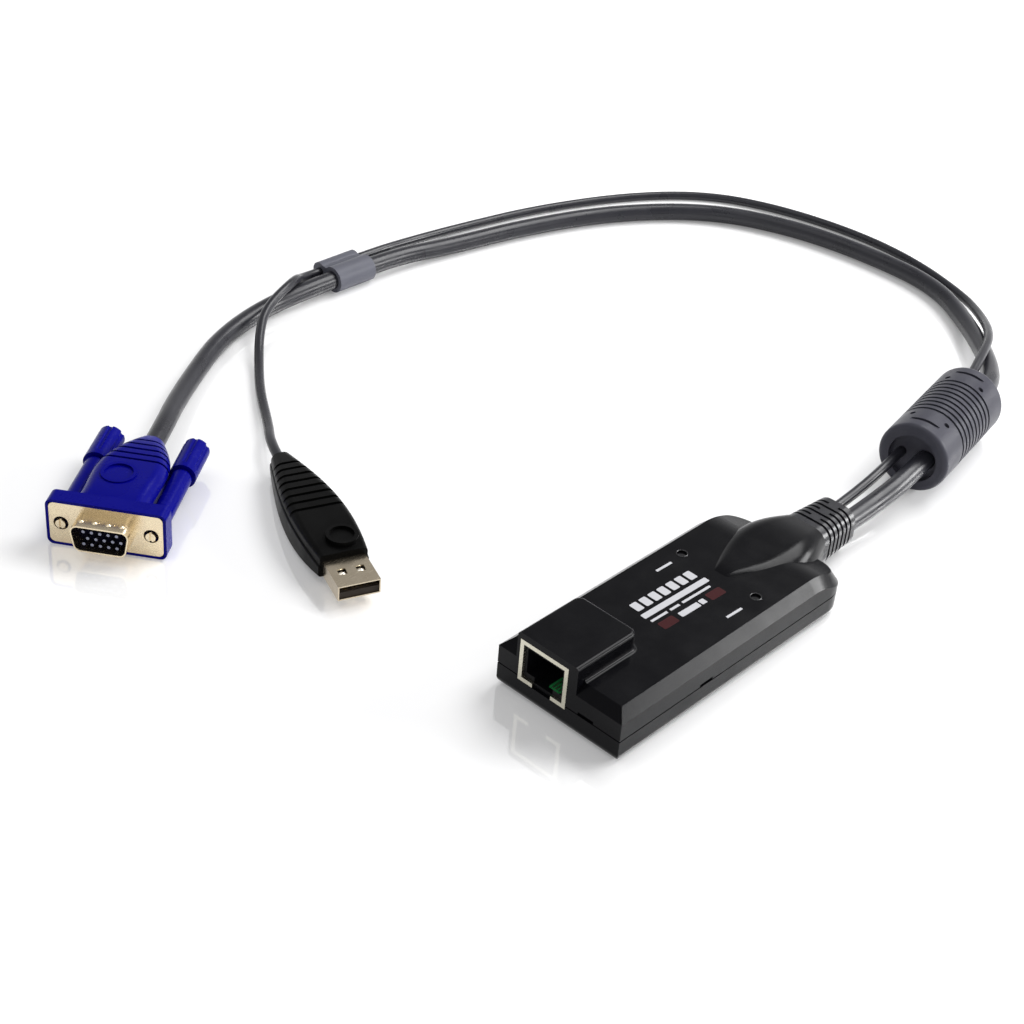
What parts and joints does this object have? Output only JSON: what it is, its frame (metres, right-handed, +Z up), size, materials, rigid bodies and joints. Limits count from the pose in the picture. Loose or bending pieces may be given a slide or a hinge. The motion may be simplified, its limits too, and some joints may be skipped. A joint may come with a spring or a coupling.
{
  "type": "kvm dongle",
  "caption": "KVM dongle: flat black case with a raised network jack block, whose cords run through a ferrite barrel and a clamp to a blue video plug and a USB-A plug.",
  "frame": {"origin": "on the surface that the case stands on, under the middle of the case with its neck", "axes": "+X from the network jack to the cord boot, +Z up, +Y to the left when looking along +X"},
  "size_m": [0.3258, 0.2265, 0.0219],
  "materials": {
    "case_abs": "gloss black moulded ABS",
    "jack_tin": "tin-plated sheet steel",
    "jack_plastic": "black moulded PBT",
    "contact_gold": "gold-plated phosphor bronze",
    "carrier_green": "green moulded nylon",
    "lamp_lens": "smoked lamp lens",
    "board_laminate": "green solder mask on glass laminate",
    "chip_epoxy": "black moulding compound",
    "crystal_can": "drawn steel can",
    "header_nylon": "cream nylon",
    "capacitor_can": "aluminium can",
    "screw_steel": "blackened steel",
    "boot_pvc": "satin black moulded PVC",
    "cord_pvc": "dark grey PVC jacket",
    "ferrite_ceramic": "sintered ferrite",
    "barrel_plastic": "mid grey moulded plastic",
    "clamp_plastic": "mid grey moulded plastic",
    "hood_blue_pvc": "satin blue moulded PVC",
    "plug_nickel": "warm nickel-plated steel",
    "plug_insulator": "dark moulded PBT",
    "usb_hood_pvc": "matte black moulded PVC",
    "usb_nickel": "nickel-plated steel",
    "usb_insulator": "black moulded nylon"
  },
  "bodies": {
    "dongle": {"upper_shell": "case_abs", "lower_shell": "case_abs", "circuit_board": "board_laminate", "main_chip": "chip_epoxy", "network_magnetics": "chip_epoxy", "crystal": "crystal_can", "video_cord_header": "header_nylon", "usb_cord_header": "header_nylon", "capacitors": "capacitor_can", "online_lamp": "lamp_lens", "power_lamp": "lamp_lens", "case_screws": "screw_steel", "jack_shield": "jack_tin", "jack_housing": "jack_plastic", "jack_contact_carrier": "carrier_green", "jack_contacts": "contact_gold", "cord_boot": "boot_pvc", "video_cord_tube": "cord_pvc", "usb_cord_tube": "cord_pvc", "ferrite_core": "ferrite_ceramic", "ferrite_cover": "barrel_plastic", "cord_clamp": "clamp_plastic", "video_plug_hood": "hood_blue_pvc", "video_plug_shell": "plug_nickel", "video_plug_insulator": "plug_insulator", "video_plug_pins": "contact_gold", "usb_plug_hood": "usb_hood_pvc", "usb_plug_shell": "usb_nickel", "usb_plug_insulator": "usb_insulator", "usb_plug_contacts": "contact_gold"},
    "thumbscrew_left": {"thumbscrew_left_driver": "plug_nickel", "thumbscrew_left_grip": "hood_blue_pvc"},
    "thumbscrew_right": {"thumbscrew_right_driver": "plug_nickel", "thumbscrew_right_grip": "hood_blue_pvc"}
  },
  "joints": [
    {"name": "left_thumbscrew_turn", "type": "hinge", "parent": "dongle", "child": "thumbscrew_left", "pos_m": [-0.06599, 0.12986, 0.0073], "axis": [-0.8221, -0.5693, 0], "continuous": true},
    {"name": "right_thumbscrew_turn", "type": "hinge", "parent": "dongle", "child": "thumbscrew_right", "pos_m": [-0.08022, 0.15041, 0.0073], "axis": [-0.8221, -0.5693, 0], "continuous": true}
  ]
}
